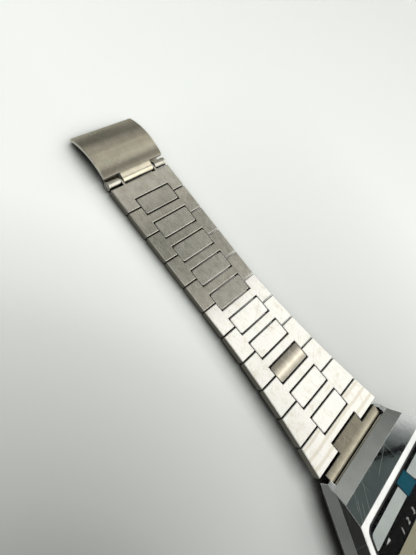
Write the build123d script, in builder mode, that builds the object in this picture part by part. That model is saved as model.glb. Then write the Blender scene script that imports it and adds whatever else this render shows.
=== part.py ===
from build123d import *
from math import asin, atan2, cos, degrees, radians, sin, tan
import os

# Digital watch on a folded-link bracelet, in millimetres.
# The origin is the centre of the case back's resting face. +Z points up out of the crystal
# and +Y points from the case to the 12 o'clock side of the bracelet.

os.makedirs("parts", exist_ok=True)

# Shared fits and overruns
running_clearance = 0.05
seat_clearance = 0.02
cut_overrun = 2.0

# Bracelet: outer links and the centre links that straddle their joints
link_pitch = 6.0
link_thickness = 1.6
joint_gap = 0.25
terminal_length = 5.8
clasp_end_width = 15.0
case_end_width = 22.0
flare_length = 40.0
centre_length = 3.65
centre_width = 8.6
centre_corner_radius = 0.35
centre_gap = 0.25
centre_side_gap = 0.1
pivot_offset = 1.0
case_to_joint = 1.0
bar_radius = 0.4
bar_embed = 0.4
edge_break = 0.1
wing_bevel_run = 0.25
wing_bevel_height = 0.8
centre_bevel_run = 0.35
centre_bevel_height = 0.6
upper_sloped_links = 6
upper_flat_links = 5
lower_links = 4
upper_slope_angle = 3.4

# Slotted ladder end of the 6 o'clock side
ladder_head_length = 4.2
ladder_length = 33.0
ladder_width = 11.2
ladder_thickness = 0.9
ladder_slots = 8
ladder_slot_length = 7.6
ladder_slot_width = 1.3
ladder_slot_pitch = 3.2
ladder_tip_margin = 2.6
ladder_corner_radius = 2.0

# Clasp
pin_offset = 1.15
pin_rise = 0.2
pin_radius = 0.4
barrel_radius = 0.9
barrel_half_width = 3.85
lug_width = 0.5
lug_radius = 0.6
knuckle_radius = 0.85
knuckle_half_width = 6.9
cheek_width = 0.55
cheek_radius = 0.9
clasp_floor_gap = 0.1
leaf_thickness = 0.5
leaf_length = 9.0
leaf_half_width = 5.4
leaf_start = 1.15
hook_length = 0.9
hook_height = 0.45
cover_start = 1.15
cover_length = 10.8
cover_width = 15.0
cover_thickness = 0.7
cover_sagitta = 1.15
cover_near_top = 2.2
cover_far_top = 1.2
cover_edge_break = 0.08

# Case, lower outline and facets
case_half_length = 18.4
case_end_half_width = 10.9
case_half_width = 16.5
straight_half_length = 5.5
case_bottom = 1.0
case_top = 8.2
flank_inset = 0.8
shoulder_height = 5.0
shoulder_inset = 0.7
girdle_height = 2.6
bottom_inset = 1.0
facet_run = 6.6
crease_run = 3.6
hood_run = 1.5
top_half_length = case_half_length - facet_run
crease_half_length = case_half_length - crease_run
crease_height = 6.35
hood_half_length = case_half_length - hood_run
hood_height = 4.45
lug_height = 3.9
bezel_width = 1.1
crystal_corner_radius = 1.9

# Case, cavity and seats
end_wall = 4.6
side_wall = 2.6
cavity_half_length = case_half_length - end_wall
cavity_half_width = case_half_width - side_wall
corner_wall = 6.2
shoulder_wall = 3.3
shoulder_setback = 4.4
cavity_shoulder_half_length = cavity_half_length - shoulder_setback
cavity_top = 5.9
seat_ledge = 0.6
crystal_seat = 6.2
crystal_rise = 0.15
crystal_bevel = 0.25
gasket_width = 0.35

# Case back with its gasket and screws
back_thickness = 1.0
back_inset = 1.4
back_end_inset = 2.4
back_half_length = case_half_length - back_end_inset
back_edge_break = 0.3
groove_inset = 0.2
groove_width = 0.5
groove_depth = 0.5
screw_edge_margin = 1.25
screw_end_margin = 1.3
screw_y = cavity_half_length - screw_end_margin
screw_radius = 0.5
screw_head_radius = 0.9
screw_head_height = 0.5
screw_head_recess = 0.15
screw_hole_clearance = 0.1
screw_length = 2.8
screw_slot_width = 0.3
screw_slot_depth = 0.2

# Lug slots, end pieces and spring bars
case_lug_width = 1.2
slot_half_width = case_end_half_width - case_lug_width
slot_gap = 0.12
strip_end_gap = 0.3
spring_bar_inset = 0.65
spring_bar_y = case_half_length - spring_bar_inset
spring_bar_drop = 0.08
spring_bar_radius = 0.5
spring_tip_radius = 0.35
spring_tip_length = 0.9

# Pushers
pusher_setback = 1.3
pusher_y = straight_half_length - pusher_setback
pusher_height = 3.2
pusher_cap_radius = 1.0
pusher_cap_length = 1.5
pusher_proud = 0.9
pusher_stem_radius = 0.45
pusher_stem_reach = 0.7
pusher_clip_radius = 0.8
pusher_clip_thickness = 0.25
pusher_clip_gap = 0.03
pusher_travel = 0.7
counterbore_depth = pusher_cap_length - pusher_proud + pusher_travel + running_clearance
pusher_edge_break = 0.15
spring_coils = 3
spring_radius = 0.75
spring_wire_radius = 0.07
spring_end_gap = 0.02

# Module stack, from the case back up
module_clearance = 0.15
buzzer_side_room = 4.9
buzzer_radius = cavity_half_width - buzzer_side_room
buzzer_thickness = 0.2
battery_side_room = 5.9
battery_radius = cavity_half_width - battery_side_room
battery_height = 1.4
battery_bottom = 1.5
battery_clearance = 0.1
battery_centre_y = -1.5
battery_rim = 1.1
battery_cell_height = 0.3
clip_thickness = 0.15
clip_width = 5.0
clip_overlap = 1.2
holder_bottom = 1.45
board_bottom = 3.05
board_thickness = 0.5
board_inset = 1.5
deck_thickness = 1.0
quartz_side_room = 3.5
quartz_x = cavity_half_width - quartz_side_room
quartz_radius = 0.75
quartz_length = 6.0
quartz_clearance = 0.1
pusher_notch_depth = 1.45
pusher_notch_half_width = 1.4
pusher_notch_half_height = 1.0

# Display
lcd_side_room = 2.9
lcd_low_room = 4.8
lcd_high_room = 10.8
lcd_half_width = cavity_half_width - lcd_side_room
lcd_low_y = lcd_low_room - cavity_half_length
lcd_high_y = cavity_half_length - lcd_high_room
lcd_thickness = 1.3
lcd_glass_step = 0.6
reflector_thickness = 0.2
reflector_inset = 1.7
zebra_width = 1.2
zebra_end_room = 1.0
zebra_half_length = lcd_half_width - zebra_end_room
zebra_inset = 0.15
lcd_ledge = 0.7
lamp_width = 1.0
lamp_length = 2.4
lamp_height = 0.9
lamp_gap = 0.1
mask_thickness = 0.25
mask_gap = 0.05
window_inset = 1.0
window_half_width = lcd_half_width - window_inset
window_low_y = lcd_low_y + window_inset
window_top_inset = 1.1
window_high_y = lcd_high_y - window_top_inset
window_corner_radius = 0.6


# Outlines in plan, corner points from the 12 o'clock end round to the left
def octagon(end_half_width, half_width, straight, half_length):
    quarter = [(end_half_width, half_length), (half_width, straight)]
    right = quarter + [(x, -y) for x, y in reversed(quarter)]
    return right + [(-x, y) for x, y in reversed(right)]


def ten_sided(corner_x, shoulder_x, shoulder_y, half_width, straight, half_length):
    quarter = [(corner_x, half_length), (shoulder_x, shoulder_y), (half_width, straight)]
    right = quarter + [(x, -y) for x, y in reversed(quarter)]
    return right + [(-x, y) for x, y in reversed(right)]


case_outline = octagon(case_end_half_width, case_half_width, straight_half_length, case_half_length)
flank_angle = atan2(case_half_width - case_end_half_width, case_half_length - straight_half_length)


# Half width at a distance along the case, on a line inside the slanted flank
def flank_half_width(distance, inset):
    run = case_half_length - distance
    return case_end_half_width + run * tan(flank_angle) - inset / cos(flank_angle)


cavity_outline = ten_sided(
    flank_half_width(cavity_half_length, 0) - corner_wall,
    flank_half_width(cavity_shoulder_half_length, 0) - shoulder_wall,
    cavity_shoulder_half_length,
    cavity_half_width,
    straight_half_length,
    cavity_half_length,
)
screw_x = flank_half_width(screw_y, back_inset + screw_edge_margin)
top_end_half_width = flank_half_width(top_half_length, flank_inset)
top_straight_half_length = straight_half_length - flank_inset * tan(flank_angle / 2)
top_outline = octagon(
    top_end_half_width, case_half_width - flank_inset, top_straight_half_length, top_half_length
)


# Side planes: local x runs along the case's +Y, local y runs up, and the normal is +X
def side_plane(x):
    return Plane(origin=(x, 0, 0), x_dir=(0, 1, 0), z_dir=(1, 0, 0))


# A link's plane: local x runs across the bracelet, local y runs outward along it from the
# link's first joint line, and local z is the link's own upward normal at mid thickness
def link_plane(side, y, z, angle):
    tilt = radians(angle)
    normal = (0, side * sin(tilt), cos(tilt))
    return Plane(origin=(0, side * y, z), x_dir=(side, 0, 0), z_dir=normal)


# The plane of a link's side profile: local x runs outward and local y runs up the link
def profile_plane(plane):
    return Plane(origin=plane.origin, x_dir=plane.y_dir, z_dir=plane.x_dir)


def link_width(distance):
    share_left = max(0, 1 - distance / flare_length)
    return clasp_end_width + (case_end_width - clasp_end_width) * share_left**2


# Height of the first pivot, so that the bracelet comes down to the floor where it turns flat
bar_spacing = link_pitch - 2 * pivot_offset
centre_spacing = 2 * pivot_offset
upper_slope = radians(upper_slope_angle)
upper_run = upper_sloped_links * bar_spacing + (upper_sloped_links - 1) * centre_spacing
pivot_drop = upper_run * sin(upper_slope) + centre_spacing * sin(upper_slope / 2)
pivot_height = link_thickness / 2 + pivot_drop
pivot_y = case_half_length + case_to_joint + pivot_offset
lower_run = lower_links * bar_spacing + (lower_links - 1 / 2) * centre_spacing
lower_slope_angle = degrees(asin(pivot_drop / lower_run))


# One side of the bracelet: the plane of every outer link and the middle of every centre link
def lay_chain(side, angles):
    outer_planes = []
    centre_planes = []
    pivot = (pivot_y, pivot_height)
    for number, angle in enumerate(angles):
        tilt = radians(angle)
        start = (pivot[0] - pivot_offset * cos(tilt), pivot[1] + pivot_offset * sin(tilt))
        outer_planes.append(link_plane(side, start[0], start[1], angle))
        far = (pivot[0] + bar_spacing * cos(tilt), pivot[1] - bar_spacing * sin(tilt))
        if number + 1 < len(angles):
            between = radians((angle + angles[number + 1]) / 2)
            middle = (far[0] + pivot_offset * cos(between), far[1] - pivot_offset * sin(between))
            centre_planes.append(link_plane(side, middle[0], middle[1], degrees(between)))
            pivot = (
                far[0] + centre_spacing * cos(between),
                far[1] - centre_spacing * sin(between),
            )
    return outer_planes, centre_planes


upper_angles = [upper_slope_angle] * upper_sloped_links + [0] * upper_flat_links
lower_angles = [lower_slope_angle] * lower_links + [0]
upper_outer, upper_centre = lay_chain(1, upper_angles)
lower_outer, lower_centre = lay_chain(-1, lower_angles)

crossbar_start = centre_length / 2 + centre_gap
notch_half_width = centre_width / 2 + centre_side_gap
bar_hole_radius = bar_radius + running_clearance


# Outer link in plan: straight tapering sides, and a notch at each end that holds a centre link
def link_plan(length, near_width, far_width, far_notch):
    near = joint_gap / 2
    far = length - joint_gap / 2
    with BuildSketch() as plan:
        Polygon(
            (-near_width / 2, near),
            (near_width / 2, near),
            (far_width / 2, far),
            (-far_width / 2, far),
            align=None,
        )
        Rectangle(2 * notch_half_width, 2 * crossbar_start, mode=Mode.SUBTRACT)
        if far_notch:
            with Locations((0, length)):
                Rectangle(2 * notch_half_width, 2 * crossbar_start, mode=Mode.SUBTRACT)
    return plan.sketch


# Wedge under a wing's end, which lets the bracelet curl round a wrist
def wing_bevel(place, inward):
    low = -link_thickness / 2
    return [
        (place, low),
        (place + inward * wing_bevel_run, low),
        (place, low + wing_bevel_height),
    ]


# Solid of one outer link with its cross bars
def outer_link(plane, length, near_width, far_width, far_notch):
    with BuildPart() as link:
        with BuildSketch(plane.offset(-link_thickness / 2)):
            add(link_plan(length, near_width, far_width, far_notch))
        extrude(amount=link_thickness)
        with BuildSketch(profile_plane(plane)):
            Polygon(*wing_bevel(joint_gap / 2, 1), align=None)
            if far_notch:
                Polygon(*wing_bevel(length - joint_gap / 2, -1), align=None)
        extrude(amount=near_width, both=True, mode=Mode.SUBTRACT)
        top = link.faces().sort_by(Axis.Z)[-1]
        chamfer(top.edges(), length=edge_break)
        with BuildSketch(profile_plane(plane)):
            with Locations((pivot_offset, 0)):
                Circle(bar_radius)
            if far_notch:
                with Locations((length - pivot_offset, 0)):
                    Circle(bar_radius)
        extrude(amount=notch_half_width + bar_embed, both=True)
    return link


# Centre link in plan and its solid, with a bore round each of the two bars that it joins
def centre_link(plane):
    low = -link_thickness / 2
    half = centre_length / 2
    with BuildPart() as link:
        with BuildSketch(plane.offset(low)):
            RectangleRounded(centre_width, centre_length, centre_corner_radius)
        extrude(amount=link_thickness)
        top = link.faces().sort_by(Axis.Z)[-1]
        chamfer(top.edges(), length=edge_break)
        with BuildSketch(profile_plane(plane)):
            for end in (1, -1):
                Polygon(
                    (end * half, low),
                    (end * (half - centre_bevel_run), low),
                    (end * half, low + centre_bevel_height),
                    align=None,
                )
                with Locations((end * pivot_offset, 0)):
                    Circle(bar_hole_radius)
        extrude(amount=centre_width, both=True, mode=Mode.SUBTRACT)
    return link


# Names the piece and writes its file
def save(piece, name):
    piece.part.label = name
    export_step(piece.part, f"parts/{name}.step")


# Links of the 12 o'clock side, numbered from the case
upper_count = upper_sloped_links + upper_flat_links
for number, plane in enumerate(upper_outer[:-1], start=1):
    near_width = link_width(link_pitch * (number - 1))
    far_width = link_width(link_pitch * number)
    upper_link = outer_link(plane, link_pitch, near_width, far_width, True)
    save(upper_link, f"upper_link_{number:02d}")

for number, plane in enumerate(upper_centre, start=1):
    upper_centre_link = centre_link(plane)
    save(upper_centre_link, f"upper_centre_link_{number:02d}")

# Terminal link with two thin lugs that carry the clasp's pin
terminal_plane = upper_outer[-1]
pin_y = terminal_length + pin_offset
lug_start = barrel_half_width + 2 * running_clearance
lug_root = terminal_length - centre_length / 2
terminal_body = outer_link(
    terminal_plane, terminal_length, clasp_end_width, clasp_end_width, False
)
with BuildPart() as terminal_link:
    add(terminal_body.part)
    for side in (1, -1):
        lug_plane = profile_plane(terminal_plane).offset(side * lug_start)
        with BuildSketch(lug_plane):
            with Locations((pin_y, pin_rise)):
                Circle(lug_radius)
            with Locations((lug_root, pin_rise)):
                Rectangle(
                    pin_y - lug_root, 2 * lug_radius, align=(Align.MIN, Align.CENTER)
                )
            with Locations((pin_y, pin_rise)):
                Circle(pin_radius + seat_clearance, mode=Mode.SUBTRACT)
        extrude(amount=side * lug_width)
save(terminal_link, f"upper_link_{upper_count:02d}")

# Links of the 6 o'clock side, numbered from the case
for number, plane in enumerate(lower_outer[:-1], start=1):
    near_width = link_width(link_pitch * (number - 1))
    far_width = link_width(link_pitch * number)
    lower_link = outer_link(plane, link_pitch, near_width, far_width, True)
    save(lower_link, f"lower_link_{number:02d}")

for number, plane in enumerate(lower_centre, start=1):
    lower_centre_link = centre_link(plane)
    save(lower_centre_link, f"lower_centre_link_{number:02d}")

# Ladder end: a hinged head and a thin plate with slots for the clasp's hook
ladder_plane = lower_outer[-1]
ladder_head = outer_link(
    ladder_plane, ladder_head_length, link_width(link_pitch * lower_links), clasp_end_width, False
)
plate_root = ladder_head_length - centre_gap - wing_bevel_run
last_slot = ladder_length - ladder_tip_margin
first_slot = last_slot - (ladder_slots - 1) * ladder_slot_pitch
with BuildPart() as ladder_end:
    add(ladder_head.part)
    with BuildSketch(ladder_plane.offset(-link_thickness / 2)):
        with Locations((0, (plate_root + ladder_length) / 2)):
            RectangleRounded(ladder_width, ladder_length - plate_root, ladder_corner_radius)
        with Locations((0, (first_slot + last_slot) / 2)):
            with GridLocations(0, ladder_slot_pitch, 1, ladder_slots):
                SlotOverall(ladder_slot_length, ladder_slot_width, mode=Mode.SUBTRACT)
    extrude(amount=ladder_thickness)
save(ladder_end, "ladder_end")

# Clasp: the pin through the lugs, the knuckles and the barrel
clasp_profile = profile_plane(terminal_plane)
with BuildPart() as clasp_pin:
    with BuildSketch(clasp_profile):
        with Locations((pin_y, pin_rise)):
            Circle(pin_radius)
    extrude(amount=knuckle_half_width + cheek_width, both=True)
save(clasp_pin, "clasp_pin")

# Clasp blade: knuckles with round ears on the pin, and a leaf that ends in the hook
floor_level = -link_thickness / 2 + clasp_floor_gap
pin_hole_radius = pin_radius + running_clearance
knuckle_start = lug_start + lug_width + 2 * running_clearance
with BuildPart() as clasp_blade:
    for side in (1, -1):
        with BuildSketch(clasp_profile.offset(side * knuckle_start)):
            with Locations((pin_y, pin_rise)):
                Circle(knuckle_radius)
            with Locations((pin_y, floor_level)):
                Rectangle(leaf_start + leaf_thickness, leaf_thickness, align=Align.MIN)
        extrude(amount=side * (knuckle_half_width - knuckle_start))
        with BuildSketch(clasp_profile.offset(side * knuckle_half_width)):
            with Locations((pin_y, pin_rise)):
                Circle(cheek_radius)
        extrude(amount=side * cheek_width)
    with BuildSketch(terminal_plane.offset(floor_level)):
        with Locations((0, pin_y + leaf_start)):
            Rectangle(
                2 * knuckle_half_width, leaf_thickness, align=(Align.CENTER, Align.MIN)
            )
            Rectangle(2 * leaf_half_width, leaf_length, align=(Align.CENTER, Align.MIN))
    extrude(amount=leaf_thickness)
    with BuildSketch(terminal_plane.offset(floor_level + leaf_thickness)):
        with Locations((0, pin_y + leaf_start + leaf_length)):
            Rectangle(
                ladder_slot_length - ladder_slot_width,
                hook_length,
                align=(Align.CENTER, Align.MAX),
            )
    extrude(amount=hook_height)
    with BuildSketch(clasp_profile):
        with Locations((pin_y, pin_rise)):
            Circle(pin_hole_radius)
    extrude(amount=clasp_end_width, both=True, mode=Mode.SUBTRACT)
save(clasp_blade, "clasp_blade")

# Clasp cover: an arched plate whose narrow tongue curls round the pin
cover_near = pin_y + cover_start
cover_far = cover_near + cover_length
near_top = cover_near_top - link_thickness / 2
far_top = cover_far_top - link_thickness / 2
with BuildPart() as clasp_cover:
    with BuildSketch(clasp_profile):
        with BuildLine():
            top_arc = SagittaArc((cover_near, near_top), (cover_far, far_top), cover_sagitta)
            far_edge = Line(top_arc @ 1, (cover_far, far_top - cover_thickness))
            low_arc = SagittaArc(
                far_edge @ 1, (cover_near, near_top - cover_thickness), -cover_sagitta
            )
            Line(low_arc @ 1, top_arc @ 0)
        make_face()
    extrude(amount=cover_width / 2, both=True)
    cover_ends = clasp_cover.faces().filter_by(Axis.X)
    chamfer(cover_ends.edges(), length=cover_edge_break)
    with BuildSketch(clasp_profile):
        with Locations((pin_y, pin_rise)):
            Circle(barrel_radius)
        Polygon(
            (pin_y, pin_rise + barrel_radius),
            (cover_near, near_top),
            (cover_near + cover_thickness, near_top),
            (cover_near + cover_thickness, near_top - cover_thickness),
            (pin_y, pin_rise),
            align=None,
        )
    extrude(amount=barrel_half_width, both=True)
    with BuildSketch(clasp_profile):
        with Locations((pin_y, pin_rise)):
            Circle(pin_hole_radius)
    extrude(amount=barrel_half_width + cut_overrun, both=True, mode=Mode.SUBTRACT)
save(clasp_cover, "clasp_cover")


# Plan outlines drawn inward or outward from the case's own lines
def plan_of(outline, grow):
    with BuildSketch() as plan:
        Polygon(*outline, align=None)
        if grow:
            offset(amount=grow, kind=Kind.INTERSECTION)
    return plan.sketch


def opening_plan(inset):
    with BuildSketch() as plan:
        Polygon(*top_outline, align=None)
        offset(amount=-inset, kind=Kind.INTERSECTION)
        rows = plan.vertices().group_by(Axis.Y)
        ends = rows[0] + rows[-1]
        fillet(ends, radius=crystal_corner_radius - (inset - bezel_width))
    return plan.sketch


# A pusher's plane at a distance out from the case's middle, with its normal pointing outward
def pusher_plane(side, end, distance):
    return Plane(
        origin=(side * distance, end * pusher_y, pusher_height),
        x_dir=(0, 1, 0),
        z_dir=(side, 0, 0),
    )


pushers = {"light": (-1, 1), "mode": (-1, -1), "set": (1, -1)}
screw_places = [(x * screw_x, y * screw_y) for x in (1, -1) for y in (1, -1)]
counterbore_floor = case_half_width - counterbore_depth
flank_levels = [
    (case_bottom, bottom_inset),
    (girdle_height, 0),
    (shoulder_height, shoulder_inset),
    (case_top, flank_inset),
]
end_profile = [
    (top_half_length, case_top),
    (crease_half_length, crease_height),
    (hood_half_length, hood_height),
    (case_half_length, lug_height),
    (case_half_length, case_bottom),
]
spring_bar_height = pivot_height - spring_bar_drop
tip_hole_radius = spring_tip_radius + seat_clearance
screw_seat = screw_head_recess + screw_head_height

# Case body: tapered flanks, two facets at each end, and the crystal's seat in the top
with BuildPart() as case_body:
    for (low, low_inset), (high, high_inset) in zip(flank_levels, flank_levels[1:]):
        with BuildSketch(Plane.XY.offset(low)):
            add(plan_of(case_outline, -low_inset))
        with BuildSketch(Plane.XY.offset(high)):
            add(plan_of(case_outline, -high_inset))
        loft(ruled=True)
    with BuildSketch(side_plane(0)):
        Polygon(*end_profile, *[(-y, z) for y, z in reversed(end_profile)], align=None)
    extrude(amount=case_half_width + cut_overrun, both=True, mode=Mode.INTERSECT)
    with BuildSketch(Plane.XY.offset(case_bottom)):
        for end in (1, -1):
            with Locations((0, end * (hood_half_length + cut_overrun))):
                Rectangle(2 * slot_half_width, 2 * cut_overrun)
    extrude(amount=case_top, mode=Mode.SUBTRACT)
    with BuildSketch(Plane.XY.offset(case_bottom)):
        Polygon(*cavity_outline, align=None)
    extrude(amount=cavity_top - case_bottom, mode=Mode.SUBTRACT)
    with BuildSketch(Plane.XY.offset(cavity_top)):
        add(opening_plan(bezel_width + seat_ledge))
    extrude(amount=crystal_seat - cavity_top, mode=Mode.SUBTRACT)
    with BuildSketch(Plane.XY.offset(crystal_seat)):
        add(opening_plan(bezel_width))
    extrude(amount=case_top, mode=Mode.SUBTRACT)
    with BuildSketch(Plane.XY.offset(case_bottom)):
        add(plan_of(cavity_outline, groove_inset + groove_width))
        add(plan_of(cavity_outline, groove_inset), mode=Mode.SUBTRACT)
    extrude(amount=groove_depth, mode=Mode.SUBTRACT)
    with BuildSketch(Plane.XY.offset(case_bottom)):
        with Locations(*screw_places):
            Circle(screw_radius + seat_clearance)
    screw_hole_depth = screw_seat + screw_length + screw_hole_clearance - case_bottom
    extrude(amount=screw_hole_depth, mode=Mode.SUBTRACT)
    for side, end in pushers.values():
        with BuildSketch(pusher_plane(side, end, counterbore_floor)):
            Circle(pusher_cap_radius + running_clearance)
        extrude(amount=counterbore_depth + cut_overrun, mode=Mode.SUBTRACT)
        with BuildSketch(pusher_plane(side, end, cavity_half_width - pusher_stem_reach)):
            Circle(pusher_stem_radius + running_clearance)
        extrude(amount=case_half_width - cavity_half_width + pusher_stem_reach, mode=Mode.SUBTRACT)
    for end in (1, -1):
        with BuildSketch(side_plane(0)):
            with Locations((end * spring_bar_y, spring_bar_height)):
                Circle(tip_hole_radius)
        extrude(
            amount=slot_half_width + spring_tip_length - slot_gap + screw_hole_clearance,
            both=True,
            mode=Mode.SUBTRACT,
        )
save(case_body, "case_body")

# End pieces: a strip between the lugs, with a tongue round the first link's bar
end_pieces = {"upper_end_piece": 1, "lower_end_piece": -1}
strip_near = hood_half_length + slot_gap
strip_far = pivot_y - pivot_offset - strip_end_gap
tongue_far = pivot_y - pivot_offset + centre_length / 2
strip_half_width = slot_half_width - slot_gap
for name, side in end_pieces.items():
    joint_plane = link_plane(side, pivot_y, pivot_height, 0)
    low = -link_thickness / 2
    with BuildPart() as end_piece:
        with BuildSketch(joint_plane.offset(low)):
            with Locations((0, strip_near - pivot_y)):
                Rectangle(
                    2 * strip_half_width, strip_far - strip_near, align=(Align.CENTER, Align.MIN)
                )
                Rectangle(
                    centre_width, tongue_far - strip_near, align=(Align.CENTER, Align.MIN)
                )
        extrude(amount=link_thickness)
        strip_top = end_piece.faces().sort_by(Axis.Z)[-1]
        chamfer(strip_top.edges(), length=edge_break)
        with BuildSketch(profile_plane(joint_plane)):
            Circle(bar_hole_radius)
            Polygon(
                (tongue_far - pivot_y, low),
                (tongue_far - pivot_y - centre_bevel_run, low),
                (tongue_far - pivot_y, low + centre_bevel_height),
                align=None,
            )
            with Locations((spring_bar_y - pivot_y, -spring_bar_drop)):
                Circle(spring_bar_radius + seat_clearance)
        extrude(amount=slot_half_width, both=True, mode=Mode.SUBTRACT)
    save(end_piece, name)

# Spring bars: a tube through each end piece with a thin tip in each lug
with BuildPart() as spring_bars:
    with BuildSketch(side_plane(0)):
        for end in (1, -1):
            with Locations((end * spring_bar_y, spring_bar_height)):
                Circle(spring_bar_radius)
    extrude(amount=strip_half_width, both=True)
    with BuildSketch(side_plane(0)):
        for end in (1, -1):
            with Locations((end * spring_bar_y, spring_bar_height)):
                Circle(spring_tip_radius)
    extrude(amount=slot_half_width + spring_tip_length - slot_gap, both=True)
save(spring_bars, "spring_bars")

# Case back, with the seats of its four screws
with BuildPart() as case_back:
    with BuildSketch():
        add(plan_of(case_outline, -back_inset))
        Rectangle(2 * case_half_width, 2 * back_half_length, mode=Mode.INTERSECT)
    extrude(amount=back_thickness)
    chamfer(case_back.faces().sort_by(Axis.Z)[0].edges(), length=back_edge_break)
    with Locations(*screw_places):
        Cylinder(
            screw_head_radius + screw_hole_clearance,
            screw_seat,
            align=(Align.CENTER, Align.CENTER, Align.MIN),
            mode=Mode.SUBTRACT,
        )
        Cylinder(
            screw_radius + screw_hole_clearance,
            back_thickness,
            align=(Align.CENTER, Align.CENTER, Align.MIN),
            mode=Mode.SUBTRACT,
        )
save(case_back, "case_back")

with BuildPart() as back_gasket:
    with BuildSketch(Plane.XY.offset(case_bottom)):
        add(plan_of(cavity_outline, groove_inset + groove_width - seat_clearance))
        add(plan_of(cavity_outline, groove_inset + seat_clearance), mode=Mode.SUBTRACT)
    extrude(amount=groove_depth)
save(back_gasket, "back_gasket")

# Four slotted screws
with BuildPart() as back_screws:
    with BuildSketch(Plane.XY.offset(screw_head_recess)):
        with Locations(*screw_places):
            Circle(screw_head_radius)
    extrude(amount=screw_head_height)
    with BuildSketch(Plane.XY.offset(screw_seat)):
        with Locations(*screw_places):
            Circle(screw_radius)
    extrude(amount=screw_length)
    with BuildSketch(Plane.XY.offset(screw_head_recess)):
        with Locations(*screw_places):
            Rectangle(2 * screw_head_radius, screw_slot_width)
    extrude(amount=screw_slot_depth, mode=Mode.SUBTRACT)
save(back_screws, "back_screws")

# Crystal and the seal round it
crystal_inset = bezel_width + gasket_width + seat_clearance
with BuildPart() as crystal:
    with BuildSketch(Plane.XY.offset(crystal_seat)):
        add(opening_plan(crystal_inset))
    extrude(amount=case_top + crystal_rise - crystal_seat)
    chamfer(crystal.faces().sort_by(Axis.Z)[-1].edges(), length=crystal_bevel)
save(crystal, "crystal")

with BuildPart() as crystal_gasket:
    with BuildSketch(Plane.XY.offset(crystal_seat)):
        add(opening_plan(bezel_width + seat_clearance))
        add(opening_plan(bezel_width + gasket_width), mode=Mode.SUBTRACT)
    extrude(amount=case_top - crystal_seat)
save(crystal_gasket, "crystal_gasket")

# Dial mask with the display's window
deck_bottom = board_bottom + board_thickness
deck_top = deck_bottom + deck_thickness
lcd_top = deck_top + lcd_thickness
with BuildPart() as dial_mask:
    with BuildSketch(Plane.XY.offset(lcd_top + mask_gap)):
        add(opening_plan(bezel_width + seat_ledge + seat_clearance))
        with Locations((0, (window_low_y + window_high_y) / 2)):
            RectangleRounded(
                2 * window_half_width,
                window_high_y - window_low_y,
                window_corner_radius,
                mode=Mode.SUBTRACT,
            )
    extrude(amount=mask_thickness)
save(dial_mask, "dial_mask")

# Liquid crystal panel: a lower glass, and a shorter upper glass that bares the contacts
lcd_centre_y = (lcd_low_y + lcd_high_y) / 2
lcd_length = lcd_high_y - lcd_low_y
with BuildPart() as lcd_panel:
    with BuildSketch(Plane.XY.offset(deck_top)):
        with Locations((0, lcd_centre_y)):
            Rectangle(2 * lcd_half_width, lcd_length - 2 * lcd_glass_step)
    extrude(amount=lcd_thickness / 2)
    with BuildSketch(Plane.XY.offset(deck_top + lcd_thickness / 2)):
        with Locations((0, lcd_centre_y)):
            Rectangle(2 * lcd_half_width, lcd_length)
    extrude(amount=lcd_thickness / 2)
save(lcd_panel, "lcd_panel")

# Reflector under the panel, and the contact strips at its long edges
with BuildPart() as reflector:
    with BuildSketch(Plane.XY.offset(deck_top - reflector_thickness)):
        with Locations((0, lcd_centre_y)):
            Rectangle(
                2 * zebra_half_length, lcd_length - 2 * (reflector_inset + zebra_width)
            )
    extrude(amount=reflector_thickness)
save(reflector, "reflector")

with BuildPart() as zebra_connectors:
    with BuildSketch(Plane.XY.offset(deck_bottom)):
        for end in (1, -1):
            strip_y = lcd_centre_y + end * (lcd_length / 2 - reflector_inset + zebra_inset)
            with Locations((0, strip_y - end * zebra_width / 2)):
                Rectangle(2 * zebra_half_length, zebra_width)
    extrude(amount=deck_thickness)
save(zebra_connectors, "zebra_connectors")

# Circuit board
with BuildPart() as circuit_board:
    with BuildSketch(Plane.XY.offset(board_bottom)):
        add(plan_of(cavity_outline, -board_inset))
    extrude(amount=board_thickness)
save(circuit_board, "circuit_board")

# Room that the frame and the holder leave for each pusher's inner end
with BuildPart() as pusher_notches:
    for side, end in pushers.values():
        with BuildSketch(pusher_plane(side, end, cavity_half_width - pusher_notch_depth)):
            Rectangle(2 * pusher_notch_half_width, 2 * pusher_notch_half_height)
        extrude(amount=pusher_notch_depth)

# Module frame: a deck that the panel lies on, inside a rim
lamp_x = -(lcd_half_width + 2 * lamp_gap + lamp_width / 2)
with BuildPart() as module_frame:
    with BuildSketch(Plane.XY.offset(deck_bottom)):
        add(plan_of(cavity_outline, -module_clearance))
    extrude(amount=cavity_top - deck_bottom)
    with BuildSketch(Plane.XY.offset(deck_bottom)):
        with Locations((0, lcd_centre_y)):
            Rectangle(2 * (lcd_half_width - lcd_ledge), lcd_length - 2 * lcd_ledge)
        with Locations((lamp_x, lcd_centre_y)):
            Rectangle(lamp_width + 2 * lamp_gap, lamp_length + 2 * lamp_gap)
    extrude(amount=cavity_top, mode=Mode.SUBTRACT)
    with BuildSketch(Plane.XY.offset(deck_top)):
        with Locations((0, lcd_centre_y)):
            Rectangle(
                2 * (lcd_half_width + running_clearance), lcd_length + 2 * running_clearance
            )
    extrude(amount=cavity_top, mode=Mode.SUBTRACT)
    add(pusher_notches.part, mode=Mode.SUBTRACT)
save(module_frame, "module_frame")

with BuildPart() as lamp:
    with BuildSketch(Plane.XY.offset(deck_bottom)):
        with Locations((lamp_x, lcd_centre_y)):
            Rectangle(lamp_width, lamp_length)
    extrude(amount=lamp_height)
save(lamp, "lamp")

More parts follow.
